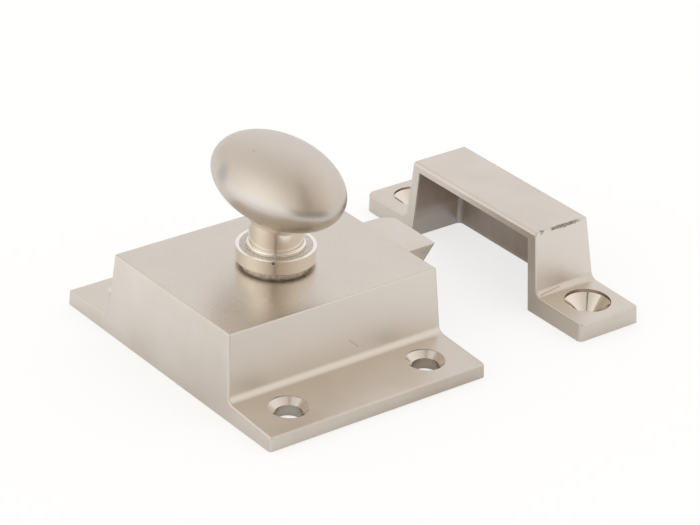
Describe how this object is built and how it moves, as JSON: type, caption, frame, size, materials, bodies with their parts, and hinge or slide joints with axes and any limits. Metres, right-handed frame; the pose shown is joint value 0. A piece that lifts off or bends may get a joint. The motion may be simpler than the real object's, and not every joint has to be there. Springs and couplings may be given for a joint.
{
  "type": "cupboard catch latch",
  "caption": "Surface cupboard latch: turning an oval knob draws back a sprung bevelled bolt; with its box strike. Screw flanges on both, bolt slides in a hollow cast case.",
  "frame": {"origin": "where the knob's axis meets the door: the middle of the case's four screw holes, on its back face", "axes": "+X is the way the bolt shoots, +Y runs along the flanges, +Z points out of the door along the knob's axis"},
  "size_m": [0.0862, 0.0664, 0.0406],
  "materials": {
    "case_nickel": "satin nickel plate on cast brass, brushed along the faces",
    "knob_nickel": "satin nickel plate on cast brass, smoother than the case",
    "bolt_nickel": "satin nickel plate on cast brass",
    "strike_nickel": "satin nickel plate on cast brass, darker inside the pocket",
    "cam_brass": "raw cast brass",
    "zinc_steel": "zinc-plated steel",
    "spring_steel": "drawn spring wire"
  },
  "bodies": {
    "case": {"case": "case_nickel", "back_plate": "zinc_steel", "plate_screw_1": "zinc_steel", "plate_screw_2": "zinc_steel", "plate_screw_3": "zinc_steel", "plate_screw_4": "zinc_steel", "knob_washer": "knob_nickel", "bolt_spring": "spring_steel", "strike": "strike_nickel"},
    "knob": {"knob": "knob_nickel", "spindle": "zinc_steel", "cam": "cam_brass", "cam_washer": "zinc_steel", "spindle_nut": "zinc_steel"},
    "bolt": {"bolt": "bolt_nickel", "spring_guide": "zinc_steel"}
  },
  "joints": [
    {"name": "knob_turn", "type": "hinge", "parent": "case", "child": "knob", "pos_m": [0, 0, 0], "axis": [0, 0, 1], "range_deg": [0, 75]},
    {"name": "bolt_slide", "type": "slide", "parent": "case", "child": "bolt", "axis": [-1, 0, 0], "range_m": [0, 0.007], "stiffness_N_per_m": 500, "springref_m": -0.008, "deforming": ["bolt_spring"]}
  ],
  "couplings": [
    {"joint": "knob_turn", "follows": "bolt_slide", "rad_per_m": 187}
  ]
}
